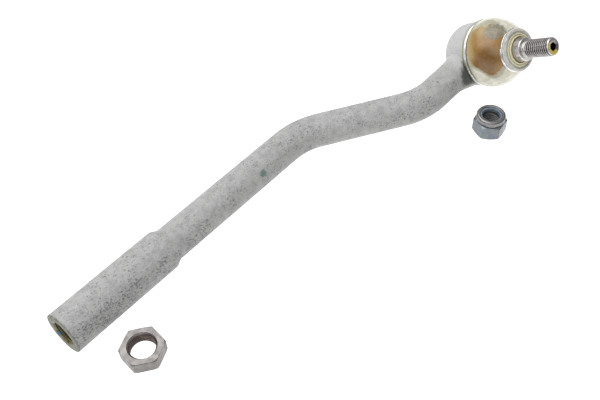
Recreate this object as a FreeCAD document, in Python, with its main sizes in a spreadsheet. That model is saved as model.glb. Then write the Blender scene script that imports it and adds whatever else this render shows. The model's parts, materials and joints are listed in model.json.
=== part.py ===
"""Tie rod end: forged rod with a threaded sleeve, a ball stud under a dust boot, and two loose nuts.

Millimetres. The origin is the centre of the sleeve's mouth face. +X runs along the sleeve's thread
towards the ball joint, +Z is up, and the bench that everything rests on is one sleeve radius below.
Pieces of the ball joint are drawn in the joint's own frame: its origin is the centre of the ball and
its z axis points out along the stud.
"""

import FreeCAD, Part
import math
import os
from collections import namedtuple

import Sketcher

DIMENSIONS = {
    # sleeve: the thick, internally threaded end of the forging
    "sleeve_radius": 12.7,
    "sleeve_length": 72.4,
    "sleeve_shoulder": 3.4,
    "mouth_chamfer": 0.8,
    "sleeve_thread_radius": 7.19,
    "sleeve_thread_length": 58,
    "sleeve_countersink": 1.3,
    # rod: a round bar with one sideways jog that also climbs a little
    "rod_radius": 10.6,
    "rod_end": 306,
    "jog_start": 177.2,
    "jog_angle": 36.3,
    "jog_offset": 47.8,
    "jog_climb_angle": 7.8,
    "bend_radius": 41,
    # ball joint: where the ball's centre is and how its axis stands
    "ball_x": 318.4,
    "ball_y": -50.4,
    "ball_z": 10.1,
    "stud_tilt": 55.3,
    "stud_lean": 5,
    # housing: the forged cup around the ball
    "housing_back": 17.6,
    "housing_back_radius": 13.5,
    "housing_bowl_radius": 13.5,
    "housing_waist_radius": 21,
    "housing_waist_depth": 5.5,
    "housing_rim_radius": 21.6,
    "housing_rim_height": 4.5,
    "housing_rim_chamfer": 0.8,
    "housing_neck_radius": 19.4,
    "housing_front": 10.3,
    "housing_neck_chamfer": 0.6,
    "boot_seat_radius": 24,
    "flare_start": 288,
    "flare_end": 308,
    "flare_radius": 13.6,
    "flare_arc_radius": 68,
    "cavity_radius": 13.5,
    "lip_radius": 10.7,
    "lip_height": 6.1,
    "mouth_radius": 14.2,
    "crimp_lip_radius": 12.4,
    "crimp_lip_thickness": 1.2,
    # ball seat, preload spring and cover plate, stacked behind the ball
    "ball_radius": 11,
    "seat_clearance": 0.08,
    "seat_wall_gap": 0.05,
    "seat_split_gap": 0.2,
    "seat_opening_height": 5.6,
    "seat_back": 13.3,
    "seat_back_hole_radius": 3.2,
    "spring_inner_radius": 5.5,
    "spring_outer_radius": 11.5,
    "spring_thickness": 0.9,
    "spring_cone_height": 0.5,
    "cover_radius": 14.1,
    "cover_thickness": 1.6,
    # stud: neck, plain shank, tapered seat, relief groove and M12 x 1.5 thread
    "ball_flat": 10.2,
    "stud_neck_radius": 5.8,
    "stud_neck_end": 13,
    "shank_start": 20,
    "shank_radius": 8.2,
    "taper_start": 31,
    "taper_end_radius": 7.5,
    "taper_end": 40.9,
    "taper_end_chamfer": 0.3,
    "relief_radius": 5.05,
    "relief_end": 42.6,
    "stud_thread_radius": 5.93,
    "stud_thread_start": 43.5,
    "stud_thread_end": 61,
    "stud_tip": 61.9,
    "tip_radius": 5.1,
    "socket_across_flats": 5,
    "socket_depth": 5,
    # dust boot, its two wire rings and the sealing collar at its top
    "boot_dome_radius": 22.7,
    "boot_dome_centre": 11.9,
    "boot_wall": 1.6,
    "boot_bottom": 5.4,
    "boot_bead_radius": 21.7,
    "boot_bead_top": 7,
    "boot_bead_chamfer": 0.6,
    "boot_clearance": 0.2,
    "boot_groove_radius": 21.2,
    "boot_groove_top": 9.2,
    "boot_dome_start": 9.5,
    "boot_inner_start": 10.5,
    "boot_dome_end": 30.4,
    "boot_inner_end": 28.9,
    "boot_neck_radius": 13,
    "boot_neck_top": 32.3,
    "boot_neck_inner": 11,
    "base_ring_radius": 21.7,
    "base_ring_height": 8.1,
    "base_ring_wire": 0.95,
    "top_ring_radius": 13.5,
    "top_ring_height": 31.75,
    "top_ring_wire": 0.95,
    "collar_bottom": 28.8,
    "collar_tube_radius": 10.9,
    "collar_flange_radius": 13.8,
    "collar_flange_bottom": 32.4,
    "collar_flange_top": 35,
    "collar_lip_radius": 9.7,
    "collar_lip_top": 35.8,
    "collar_step": 0.5,
    "collar_clearance": 0.05,
    # jam nut, M16 x 1.5, lying on the bench beside the sleeve
    "jam_nut_x": 23.5,
    "jam_nut_y": -34.5,
    "jam_nut_turn": 23.6,
    "jam_nut_across_flats": 22,
    "jam_nut_height": 8,
    "jam_nut_countersink": 1.3,
    # self-locking nut, M12 x 1.5, standing on the bench beside the ball joint
    "lock_nut_x": 282.2,
    "lock_nut_y": -83.9,
    "lock_nut_turn": 5.4,
    "lock_nut_across_flats": 19,
    "lock_nut_hex_height": 9.8,
    "lock_nut_height": 14,
    "lock_nut_collar_radius": 9.2,
    "lock_nut_dome": 1.8,
    "lock_nut_thread_radius": 5.19,
    "lock_nut_countersink": 0.9,
    "insert_radius": 7.3,
    "insert_bore_radius": 5.65,
    "insert_bottom": 10.2,
    "insert_top": 13.1,
    "crimp_radius": 6.5,
    # corner bevel of both nuts, measured along the nut's axis
    "nut_bevel": 0.9,
}

# The ball joint's frame, as a spreadsheet formula for placements.
JOINT_FRAME = (
    "create(<<placement>>; "
    "create(<<vector>>; Dimensions.ball_x; Dimensions.ball_y; Dimensions.ball_z); "
    "create(<<rotation>>; create(<<vector>>; 1; 0; 0); Dimensions.stud_tilt)"
    " * create(<<rotation>>; create(<<vector>>; 0; 1; 0); -Dimensions.stud_lean))"
)
NO_MOVE = "create(<<vector>>; 0; 0; 0)"
NO_TURN = "create(<<rotation>>; 0; 0; 0)"
# Turns a sketch drawn in the XY plane so that its vertical axis is the frame's z axis.
UPRIGHT = f"create(<<placement>>; {NO_MOVE}; create(<<rotation>>; create(<<vector>>; 1; 0; 0); 90))"
# The plane of the rod's jog: the XY plane, tipped about the x axis so that the far end climbs.
JOG_PLANE = (
    f"create(<<placement>>; {NO_MOVE}; "
    "create(<<rotation>>; create(<<vector>>; 1; 0; 0); -Dimensions.jog_climb_angle))"
)

# The next edge of an outline is an arc of this radius, turning left or right as it goes.
Arc = namedtuple("Arc", "radius turns_left")


class Size:
    """A length that carries both its value and its spreadsheet formula."""

    def __init__(self, value, formula):
        self.value = value
        self.formula = formula

    def __add__(self, other):
        return Size(self.value + other.value, f"({self.formula} + {other.formula})")

    def __sub__(self, other):
        return Size(self.value - other.value, f"({self.formula} - {other.formula})")

    def __neg__(self):
        return Size(-self.value, f"(-{self.formula})")

    def times(self, factor):
        return Size(self.value * factor, f"({self.formula} * {factor!r})")


NOTHING = Size(0.0, "0")


def size(name):
    """The dimension with this name."""
    return Size(float(DIMENSIONS[name]), f"Dimensions.{name}")


def leg(radius, height):
    """Half-width of a circle of this radius at this distance from its centre."""
    value = math.sqrt(radius.value**2 - height.value**2)
    return Size(value, f"sqrt(pow({radius.formula}; 2) - pow({height.formula}; 2))")


def fill_sheet(doc):
    """Writes the driving dimensions into the document's spreadsheet."""
    sheet = doc.addObject("Spreadsheet::Sheet", "Dimensions")
    for row, (name, value) in enumerate(DIMENSIONS.items(), start=1):
        sheet.set(f"A{row}", name)
        sheet.set(f"B{row}", str(value))
        sheet.setAlias(f"B{row}", name)
    doc.recompute()


def new_body(doc, label, frame=None):
    """A body with its own name, in the ball joint's frame or at a place of its own."""
    body = doc.addObject("PartDesign::Body", label)
    body.Label = label
    if frame:
        body.setExpression("Placement", frame)
    return body


def new_sketch(body, name, role="XZ_Plane", offset=None):
    """A sketch on one of its body's origin planes, moved by an offset formula if there is one."""
    sketch = body.newObject("Sketcher::SketchObject", name)
    plane = next(item for item in body.Origin.OriginFeatures if item.Role == role)
    sketch.AttachmentSupport = [(plane, "")]
    sketch.MapMode = "FlatFace"
    if offset:
        sketch.setExpression("AttachmentOffset", offset)
    return sketch


def drive(sketch, constraint, name, length):
    """Adds one constraint and binds its value to the length's formula."""
    index = sketch.addConstraint(constraint)
    sketch.renameConstraint(index, name)
    sketch.setExpression(f"Constraints.{name}", length.formula)


def pin_vertex(sketch, edge, end, label, across, along):
    """Holds one end of an edge at its two distances from the sketch's origin."""
    if abs(across.value) < 1e-9:
        sketch.addConstraint(Sketcher.Constraint("PointOnObject", edge, end, -2))
    else:
        constraint = Sketcher.Constraint("DistanceX", -1, 1, edge, end, across.value)
        drive(sketch, constraint, f"{label}_across", across)
    if abs(along.value) < 1e-9:
        sketch.addConstraint(Sketcher.Constraint("PointOnObject", edge, end, -1))
    else:
        constraint = Sketcher.Constraint("DistanceY", -1, 1, edge, end, along.value)
        drive(sketch, constraint, f"{label}_along", along)


def arc_between(start, end, arc):
    """The short arc of a given radius from one point to the next."""
    chord = end - start
    middle = start + chord * 0.5
    side = FreeCAD.Vector(-chord.y, chord.x, 0).normalize()
    reach = math.sqrt(arc.radius.value**2 - (chord.Length / 2) ** 2)
    centre = middle + side * (reach if arc.turns_left else -reach)
    first, last = (start, end) if arc.turns_left else (end, start)
    first_angle = math.atan2(first.y - centre.y, first.x - centre.x)
    last_angle = math.atan2(last.y - centre.y, last.x - centre.x)
    circle = Part.Circle(centre, FreeCAD.Vector(0, 0, 1), arc.radius.value)
    return Part.ArcOfCircle(circle, first_angle, last_angle)


def draw_outline(sketch, outline):
    """Draws a closed outline of points, with an Arc before each point that an arc leads to."""
    vertices = [item for item in outline if not isinstance(item, Arc)]
    arcs = {}
    reached = 0
    for item in outline:
        if isinstance(item, Arc):
            arcs[reached - 1] = item
        else:
            reached += 1
    count = len(vertices)
    points = [FreeCAD.Vector(across.value, along.value, 0) for across, along in vertices]
    ends = []
    for index in range(count):
        start = points[index]
        end = points[(index + 1) % count]
        arc = arcs.get(index)
        if arc is None:
            edge = sketch.addGeometry(Part.LineSegment(start, end))
            ends.append((edge, 1, 2))
            continue
        edge = sketch.addGeometry(arc_between(start, end, arc))
        ends.append((edge, 1, 2) if arc.turns_left else (edge, 2, 1))
        constraint = Sketcher.Constraint("Radius", edge, arc.radius.value)
        drive(sketch, constraint, f"arc{index}_radius", arc.radius)
    for index in range(count):
        edge, _, last = ends[index]
        following, first, _ = ends[(index + 1) % count]
        sketch.addConstraint(Sketcher.Constraint("Coincident", edge, last, following, first))
    for index, (across, along) in enumerate(vertices):
        edge, first, _ = ends[index]
        pin_vertex(sketch, edge, first, f"point{index}", across, along)


def turn_outline(body, name, outline, kind="Revolution", axis="V_Axis", role="XZ_Plane", offset=None):
    """Revolves an outline about its sketch's axis, adding material or, as a Groove, cutting it."""
    sketch = new_sketch(body, f"{name}_sketch", role, offset)
    draw_outline(sketch, outline)
    body.Document.recompute()
    before = body.Shape.Volume if kind == "Groove" else 0
    feature = body.newObject(f"PartDesign::{kind}", name)
    feature.Profile = sketch
    feature.ReferenceAxis = (sketch, [axis])
    feature.Angle = 360
    body.Document.recompute()
    if kind == "Groove" and body.Shape.Volume >= before:
        raise RuntimeError(f"{name} cuts nothing")
    return feature


def extrude_hexagon(body, name, across_flats, length, kind="Pad", offset=None):
    """Pads or pockets a regular hexagon whose first corner lies on the sketch's x axis."""
    sketch = new_sketch(body, f"{name}_sketch", "XY_Plane", offset)
    corner_radius = across_flats.value / math.sqrt(3)
    corners = [
        FreeCAD.Vector(
            corner_radius * math.cos(math.radians(60 * step)),
            corner_radius * math.sin(math.radians(60 * step)),
            0,
        )
        for step in range(6)
    ]
    circle = Part.Circle(FreeCAD.Vector(0, 0, 0), FreeCAD.Vector(0, 0, 1), corner_radius)
    guide = sketch.addGeometry(circle, True)
    sides = [
        sketch.addGeometry(Part.LineSegment(corners[step], corners[(step + 1) % 6]))
        for step in range(6)
    ]
    for step in range(6):
        following = sides[(step + 1) % 6]
        sketch.addConstraint(Sketcher.Constraint("Coincident", sides[step], 2, following, 1))
        sketch.addConstraint(Sketcher.Constraint("PointOnObject", sides[step], 1, guide))
    for step in range(1, 6):
        sketch.addConstraint(Sketcher.Constraint("Equal", sides[0], sides[step]))
    sketch.addConstraint(Sketcher.Constraint("Coincident", guide, 3, -1, 1))
    sketch.addConstraint(Sketcher.Constraint("PointOnObject", sides[0], 1, -1))
    constraint = Sketcher.Constraint("Radius", guide, corner_radius)
    radius = Size(corner_radius, f"({across_flats.formula} / sqrt(3))")
    drive(sketch, constraint, "corner_radius", radius)
    body.Document.recompute()
    before = body.Shape.Volume if kind == "Pocket" else 0
    feature = body.newObject(f"PartDesign::{kind}", name)
    feature.Profile = sketch
    feature.setExpression("Length", length.formula)
    body.Document.recompute()
    if kind == "Pocket" and body.Shape.Volume >= before:
        raise RuntimeError(f"{name} cuts nothing")
    return feature


def add_sleeve(body):
    """The sleeve: a cylinder about the x axis, chamfered at its mouth, with a conical shoulder."""
    radius = size("sleeve_radius")
    length = size("sleeve_length")
    chamfer = size("mouth_chamfer")
    shoulder_end = length + size("sleeve_shoulder")
    outline = [
        (NOTHING, NOTHING),
        (NOTHING, radius - chamfer),
        (chamfer, radius),
        (length, radius),
        (shoulder_end, size("rod_radius")),
        (shoulder_end, NOTHING),
    ]
    turn_outline(body, "sleeve", outline, axis="H_Axis")


def draw_rod_path(sketch):
    """The rod's centre line: straight, bend, slanted run, bend back, straight."""
    start = size("sleeve_length")
    angle = math.radians(DIMENSIONS["jog_angle"])
    radius = DIMENSIONS["bend_radius"]
    reach = radius * math.sin(angle)
    drop = radius * (1 - math.cos(angle))
    run = (DIMENSIONS["jog_offset"] - 2 * drop) / math.sin(angle)
    bend = FreeCAD.Vector(DIMENSIONS["jog_start"], 0, 0)
    slant_start = bend + FreeCAD.Vector(reach, -drop, 0)
    slant_end = slant_start + FreeCAD.Vector(run * math.cos(angle), -run * math.sin(angle), 0)
    bend_end = slant_end + FreeCAD.Vector(reach, -drop, 0)
    finish = FreeCAD.Vector(DIMENSIONS["rod_end"], bend_end.y, 0)
    first_centre = bend - FreeCAD.Vector(0, radius, 0)
    second_centre = bend_end + FreeCAD.Vector(0, radius, 0)
    up = FreeCAD.Vector(0, 0, 1)
    quarter = math.pi / 2
    lead = sketch.addGeometry(Part.LineSegment(FreeCAD.Vector(start.value, 0, 0), bend))
    first = sketch.addGeometry(
        Part.ArcOfCircle(Part.Circle(first_centre, up, radius), quarter - angle, quarter)
    )
    slant = sketch.addGeometry(Part.LineSegment(slant_start, slant_end))
    second = sketch.addGeometry(
        Part.ArcOfCircle(Part.Circle(second_centre, up, radius), -quarter - angle, -quarter)
    )
    tail = sketch.addGeometry(Part.LineSegment(bend_end, finish))
    sketch.addConstraint(Sketcher.Constraint("Horizontal", lead))
    sketch.addConstraint(Sketcher.Constraint("Horizontal", tail))
    for one, one_end, other, other_end in (
        (lead, 2, first, 2),
        (first, 1, slant, 1),
        (slant, 2, second, 1),
        (second, 2, tail, 1),
    ):
        sketch.addConstraint(Sketcher.Constraint("Tangent", one, one_end, other, other_end))
    sketch.addConstraint(Sketcher.Constraint("PointOnObject", lead, 1, -1))
    drive(sketch, Sketcher.Constraint("DistanceX", -1, 1, lead, 1, start.value), "lead_start", start)
    drive(sketch, Sketcher.Constraint("DistanceX", -1, 1, lead, 2, bend.x), "bend_start", size("jog_start"))
    drive(sketch, Sketcher.Constraint("DistanceX", -1, 1, tail, 2, finish.x), "tail_end", size("rod_end"))
    drive(sketch, Sketcher.Constraint("DistanceY", -1, 1, tail, 2, finish.y), "offset", -size("jog_offset"))
    for edge, name in ((first, "first_radius"), (second, "second_radius")):
        drive(sketch, Sketcher.Constraint("Radius", edge, radius), name, size("bend_radius"))
    slope = Size(-angle, "(-Dimensions.jog_angle * 1 deg)")
    drive(sketch, Sketcher.Constraint("Angle", slant, slope.value), "slope", slope)


def add_rod(body):
    """The rod: a round section swept along its jogged centre line."""
    path = new_sketch(body, "rod_path", "XY_Plane", JOG_PLANE)
    draw_rod_path(path)
    at_sleeve = f"create(<<placement>>; create(<<vector>>; 0; 0; Dimensions.sleeve_length); {NO_TURN})"
    section = new_sketch(body, "rod_section", "YZ_Plane", at_sleeve)
    circle = Part.Circle(FreeCAD.Vector(0, 0, 0), FreeCAD.Vector(0, 0, 1), DIMENSIONS["rod_radius"])
    edge = section.addGeometry(circle)
    section.addConstraint(Sketcher.Constraint("Coincident", edge, 3, -1, 1))
    radius = size("rod_radius")
    drive(section, Sketcher.Constraint("Radius", edge, radius.value), "radius", radius)
    body.Document.recompute()
    pipe = body.newObject("PartDesign::AdditivePipe", "rod")
    pipe.Profile = section
    pipe.Spine = (path, [f"Edge{number}" for number in range(1, 6)])
    body.Document.recompute()


def add_housing(body):
    """The housing's solid cup: rounded bowl, waist, bevelled rim and front."""
    back = -size("housing_back")
    front = size("housing_front")
    rim = size("housing_rim_radius")
    rim_height = size("housing_rim_height")
    bevel = size("housing_rim_chamfer").times(2)
    outline = [
        (NOTHING, back),
        (size("housing_back_radius"), back),
        Arc(size("housing_bowl_radius"), True),
        (size("housing_waist_radius"), -size("housing_waist_depth")),
        (rim, rim_height),
        (rim - bevel, rim_height + bevel),
        (rim - bevel, front),
        (NOTHING, front),
    ]
    turn_outline(body, "housing", outline, role="XY_Plane", offset=f"{JOINT_FRAME} * {UPRIGHT}")


def add_flare(body):
    """The rod's end, which swells where it runs into the housing."""
    start = size("flare_start")
    end = size("flare_end")
    offset = f"create(<<placement>>; create(<<vector>>; 0; -Dimensions.jog_offset; 0); {NO_TURN})"
    on_rod_axis = f"{JOG_PLANE} * {offset}"
    outline = [
        (start, NOTHING),
        (end, NOTHING),
        (end, size("flare_radius")),
        Arc(size("flare_arc_radius"), False),
        (start, size("rod_radius")),
    ]
    turn_outline(body, "flare", outline, axis="H_Axis", role="XY_Plane", offset=on_rod_axis)


def cut_boot_seat(body):
    """Turns the neck that the boot grips, and clears room for the boot's bead and ring around it."""
    neck = size("housing_neck_radius")
    outer = size("boot_seat_radius")
    bottom = size("housing_rim_height") + size("housing_rim_chamfer")
    front = size("housing_front")
    chamfer = size("housing_neck_chamfer")
    outline = [
        (neck, bottom),
        (outer, bottom),
        (outer, front + chamfer),
        (neck - chamfer - chamfer, front + chamfer),
        (neck, front - chamfer),
    ]
    offset = f"{JOINT_FRAME} * {UPRIGHT}"
    turn_outline(body, "boot_seat", outline, kind="Groove", role="XY_Plane", offset=offset)


def cut_cavity(body):
    """The housing's inside: crimp lip, cover recess, seat bore, front lip and flared mouth."""
    margin = size("crimp_lip_thickness")
    back = -size("housing_back")
    crimp = size("crimp_lip_radius")
    recess = size("cover_radius") + size("seat_wall_gap")
    cover_back = back + margin
    cover_front = cover_back + size("cover_thickness")
    bore = size("cavity_radius")
    lip_height = size("lip_height")
    front = size("housing_front")
    outline = [
        (NOTHING, back - margin),
        (crimp, back - margin),
        (crimp, cover_back),
        (recess, cover_back),
        (recess, cover_front),
        (bore, cover_front),
        (bore, lip_height),
        (size("lip_radius"), lip_height),
        (size("mouth_radius"), front),
        (size("mouth_radius"), front + margin),
        (NOTHING, front + margin),
    ]
    offset = f"{JOINT_FRAME} * {UPRIGHT}"
    turn_outline(body, "cavity", outline, kind="Groove", role="XY_Plane", offset=offset)


def cut_sleeve_bore(body):
    """The sleeve's bore: countersink, thread at its minor radius and the drill's cone."""
    radius = size("sleeve_thread_radius")
    sink = size("sleeve_countersink")
    depth = size("sleeve_thread_length")
    outline = [
        (-sink, NOTHING),
        (-sink, radius + sink + sink),
        (sink, radius),
        (depth, radius),
        (depth + radius.times(0.6), NOTHING),
    ]
    turn_outline(body, "sleeve_bore", outline, kind="Groove", axis="H_Axis")


def make_forged_rod(doc):
    """The one-piece forging: threaded sleeve, jogged rod and ball joint housing."""
    body = new_body(doc, "forged_rod")
    add_sleeve(body)
    add_rod(body)
    add_housing(body)
    add_flare(body)
    cut_boot_seat(body)
    cut_cavity(body)
    cut_sleeve_bore(body)


def make_upper_ball_seat(doc):
    """The half of the plastic seat that holds the ball back from the stud's side."""
    body = new_body(doc, "upper_ball_seat", JOINT_FRAME)
    inner = size("ball_radius") + size("seat_clearance")
    outer = size("cavity_radius") - size("seat_wall_gap")
    bottom = size("seat_split_gap")
    opening = size("seat_opening_height")
    top = size("lip_height") - size("seat_wall_gap")
    outline = [
        (leg(inner, bottom), bottom),
        (outer, bottom),
        (outer, top),
        (leg(inner, opening) + size("seat_split_gap").times(2), top),
        (leg(inner, opening), opening),
        Arc(inner, False),
    ]
    turn_outline(body, "seat", outline)


def make_lower_ball_seat(doc):
    """The cup-shaped half of the plastic seat, pushed onto the ball by the spring."""
    body = new_body(doc, "lower_ball_seat", JOINT_FRAME)
    inner = size("ball_radius") + size("seat_clearance")
    outer = size("cavity_radius") - size("seat_wall_gap")
    top = size("seat_split_gap")
    hole = size("seat_back_hole_radius")
    outline = [
        (hole, -size("seat_back")),
        (outer, -size("seat_back")),
        (outer, -top),
        (leg(inner, top), -top),
        Arc(inner, False),
        (hole, -leg(inner, hole)),
    ]
    turn_outline(body, "seat", outline)


def make_preload_spring(doc):
    """The coned spring washer between the lower seat and the cover plate."""
    body = new_body(doc, "preload_spring", JOINT_FRAME)
    top = -size("seat_back") - size("seat_wall_gap")
    cone = size("spring_cone_height")
    thickness = size("spring_thickness")
    inner = size("spring_inner_radius")
    outer = size("spring_outer_radius")
    outline = [
        (inner, top - thickness),
        (outer, top - thickness - cone),
        (outer, top - cone),
        (inner, top),
    ]
    turn_outline(body, "washer", outline)


def make_cover_plate(doc):
    """The steel disc that closes the housing's back, held by the crimped lip."""
    body = new_body(doc, "cover_plate", JOINT_FRAME)
    bottom = -size("housing_back") + size("crimp_lip_thickness")
    top = bottom + size("cover_thickness")
    radius = size("cover_radius")
    outline = [(NOTHING, bottom), (radius, bottom), (radius, top), (NOTHING, top)]
    turn_outline(body, "disc", outline)


def make_ball_stud(doc):
    """The stud: ball with a flat, waisted neck, shank, tapered seat, relief and threaded end."""
    body = new_body(doc, "ball_stud", JOINT_FRAME)
    ball = size("ball_radius")
    flat = size("ball_flat")
    neck = size("stud_neck_radius")
    shank = size("shank_radius")
    taper_radius = size("taper_end_radius")
    chamfer = size("taper_end_chamfer")
    taper_end = size("taper_end")
    relief = size("relief_radius")
    thread = size("stud_thread_radius")
    outline = [
        (NOTHING, -flat),
        (leg(ball, flat), -flat),
        Arc(ball, True),
        (neck, leg(ball, neck)),
        (neck, size("stud_neck_end")),
        (shank, size("shank_start")),
        (shank, size("taper_start")),
        (taper_radius, taper_end - chamfer),
        (taper_radius - chamfer, taper_end),
        (relief, taper_end),
        (relief, size("relief_end")),
        (thread, size("stud_thread_start")),
        (thread, size("stud_thread_end")),
        (size("tip_radius"), size("stud_tip")),
        (NOTHING, size("stud_tip")),
    ]
    turn_outline(body, "stud", outline)
    at_tip = f"create(<<placement>>; create(<<vector>>; 0; 0; Dimensions.stud_tip); {NO_TURN})"
    extrude_hexagon(
        body, "socket", size("socket_across_flats"), size("socket_depth"), "Pocket", at_tip
    )


def make_dust_boot(doc):
    """The boot: base bead, groove for the base ring, domed wall and the neck under the top ring."""
    body = new_body(doc, "dust_boot", JOINT_FRAME)
    dome = size("boot_dome_radius")
    inner_dome = dome - size("boot_wall")
    centre = size("boot_dome_centre")
    bead = size("boot_bead_radius")
    chamfer = size("boot_bead_chamfer")
    groove = size("boot_groove_radius")
    grip = size("housing_neck_radius") + size("boot_clearance")
    bottom = size("boot_bottom")
    dome_start = size("boot_dome_start")
    dome_end = size("boot_dome_end")
    inner_start = size("boot_inner_start")
    inner_end = size("boot_inner_end")
    neck_top = size("boot_neck_top")
    outline = [
        (grip, bottom),
        (bead - chamfer, bottom),
        (bead, bottom + chamfer),
        (bead, size("boot_bead_top")),
        (groove, size("boot_bead_top")),
        (groove, size("boot_groove_top")),
        (leg(dome, centre - dome_start), dome_start),
        Arc(dome, True),
        (leg(dome, dome_end - centre), dome_end),
        (size("boot_neck_radius"), dome_end),
        (size("boot_neck_radius"), neck_top),
        (size("boot_neck_inner"), neck_top),
        (size("boot_neck_inner"), inner_end),
        (leg(inner_dome, inner_end - centre), inner_end),
        Arc(inner_dome, False),
        (leg(inner_dome, centre - inner_start), inner_start),
        (grip, inner_start),
    ]
    turn_outline(body, "wall", outline)


def make_wire_ring(doc, label, radius, height, wire, turns):
    """A closed wire ring; two turns lie side by side and share one rounded outline."""
    body = new_body(doc, label, JOINT_FRAME)
    half = wire.times(0.5)
    reach = wire.times(0.5 * (turns - 1))
    if turns == 1:
        outline = [
            (radius - half, height),
            Arc(half, True),
            (radius, height - half),
            Arc(half, True),
            (radius + half, height),
            Arc(half, True),
            (radius, height + half),
            Arc(half, True),
        ]
    else:
        outline = [
            (radius - half, height - reach),
            Arc(half, True),
            (radius, height - reach - half),
            Arc(half, True),
            (radius + half, height - reach),
            (radius + half, height + reach),
            Arc(half, True),
            (radius, height + reach + half),
            Arc(half, True),
            (radius - half, height + reach),
        ]
    turn_outline(body, "wire", outline)


def make_boot_collar(doc):
    """The stiff sealing collar at the boot's top: tube, flange and a lip around the shank."""
    body = new_body(doc, "boot_collar", JOINT_FRAME)
    bore = size("shank_radius") + size("collar_clearance")
    tube = size("collar_tube_radius")
    flange = size("collar_flange_radius")
    step = size("collar_step")
    lip = size("collar_lip_radius")
    outline = [
        (bore, size("collar_bottom")),
        (tube - step, size("collar_bottom")),
        (tube, size("collar_bottom") + step),
        (tube, size("collar_flange_bottom")),
        (flange, size("collar_flange_bottom")),
        (flange, size("collar_flange_top") - step),
        (flange - step, size("collar_flange_top")),
        (lip + step, size("collar_flange_top")),
        (lip, size("collar_flange_top") - step),
        (lip - step, size("collar_lip_top")),
        (bore, size("collar_lip_top")),
    ]
    turn_outline(body, "collar", outline)


def nut_frame(name):
    """Where a loose nut stands: on the bench, at its own place and turn."""
    return (
        "create(<<placement>>; "
        f"create(<<vector>>; Dimensions.{name}_x; Dimensions.{name}_y; -Dimensions.sleeve_radius); "
        f"create(<<rotation>>; create(<<vector>>; 0; 0; 1); Dimensions.{name}_turn))"
    )


def bevel_corners(body, name, across_flats, face, inward):
    """Cuts the hexagon's corners at one end face with a shallow cone."""
    corner = across_flats.times(1 / math.sqrt(3))
    flat = across_flats.times(0.475)
    bevel = size("nut_bevel")
    clear = size("nut_bevel").times(2)
    near = face + bevel if inward > 0 else face - bevel
    beyond = face - bevel if inward > 0 else face + bevel
    outline = [
        (flat, face),
        (corner, near),
        (corner + clear, near),
        (corner + clear, beyond),
        (flat, beyond),
    ]
    turn_outline(body, name, outline, kind="Groove")


def cut_nut_bore(body, radius, height, countersink):
    """The nut's threaded bore at its minor radius, countersunk at both ends."""
    outline = [
        (NOTHING, -countersink),
        (radius + countersink + countersink, -countersink),
        (radius, countersink),
        (radius, height - countersink),
        (radius + countersink + countersink, height + countersink),
        (NOTHING, height + countersink),
    ]
    turn_outline(body, "bore", outline, kind="Groove")


def make_jam_nut(doc):
    """The thin hexagon nut that locks the sleeve on the inner rod's thread."""
    body = new_body(doc, "jam_nut", nut_frame("jam_nut"))
    across_flats = size("jam_nut_across_flats")
    height = size("jam_nut_height")
    extrude_hexagon(body, "hexagon", across_flats, height)
    bevel_corners(body, "lower_bevel", across_flats, NOTHING, 1)
    bevel_corners(body, "upper_bevel", across_flats, height, -1)
    cut_nut_bore(body, size("sleeve_thread_radius"), height, size("jam_nut_countersink"))


def make_lock_nut(doc):
    """The steel body of the self-locking nut: hexagon, domed collar and crimped top lip."""
    body = new_body(doc, "lock_nut", nut_frame("lock_nut"))
    across_flats = size("lock_nut_across_flats")
    hexagon_height = size("lock_nut_hex_height")
    height = size("lock_nut_height")
    collar = size("lock_nut_collar_radius")
    dome = size("lock_nut_dome")
    extrude_hexagon(body, "hexagon", across_flats, hexagon_height)
    bevel_corners(body, "lower_bevel", across_flats, NOTHING, 1)
    bevel_corners(body, "upper_bevel", across_flats, hexagon_height, -1)
    crimp_outline = [
        (NOTHING, hexagon_height.times(0.5)),
        (collar, hexagon_height.times(0.5)),
        (collar, height - dome),
        Arc(dome, True),
        (collar - dome, height),
        (NOTHING, height),
    ]
    turn_outline(body, "collar", crimp_outline)
    bore = size("lock_nut_thread_radius")
    sink = size("lock_nut_countersink")
    pocket = size("insert_radius")
    insert_bottom = size("insert_bottom")
    insert_top = size("insert_top")
    lip = size("crimp_radius")
    bore_outline = [
        (NOTHING, -sink),
        (bore + sink + sink, -sink),
        (bore, sink),
        (bore, insert_bottom),
        (pocket, insert_bottom),
        (pocket, insert_top),
        (lip, insert_top),
        (lip, height + sink),
        (NOTHING, height + sink),
    ]
    turn_outline(body, "bore", bore_outline, kind="Groove")


def make_lock_nut_insert(doc):
    """The nylon ring inside the self-locking nut's collar."""
    body = new_body(doc, "lock_nut_insert", nut_frame("lock_nut"))
    gap = size("seat_wall_gap")
    outer = size("insert_radius") - gap
    bore = size("insert_bore_radius")
    bottom = size("insert_bottom") + gap
    top = size("insert_top") - gap
    outline = [(bore, bottom), (outer, bottom), (outer, top), (bore, top)]
    turn_outline(body, "ring", outline)


def check(doc):
    """Stops if any object failed or any sub-part isn't one valid solid."""
    for item in doc.Objects:
        if "Invalid" in item.State or "Error" in item.State:
            raise RuntimeError(f"{item.Label} failed: {item.State}")
    for body in doc.findObjects("PartDesign::Body"):
        if body.Shape.isNull() or not body.Shape.isValid() or len(body.Shape.Solids) != 1:
            raise RuntimeError(f"{body.Label} isn't one valid solid")


def write_parts(doc):
    """Writes each sub-part to its own STEP file."""
    os.makedirs("parts", exist_ok=True)
    for body in doc.findObjects("PartDesign::Body"):
        body.Shape.exportStep(f"parts/{body.Label}.step")
        box = body.Shape.BoundBox
        print(f"{body.Label}: {body.Shape.Volume:.0f} mm3, z {box.ZMin:.2f} to {box.ZMax:.2f}")


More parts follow.
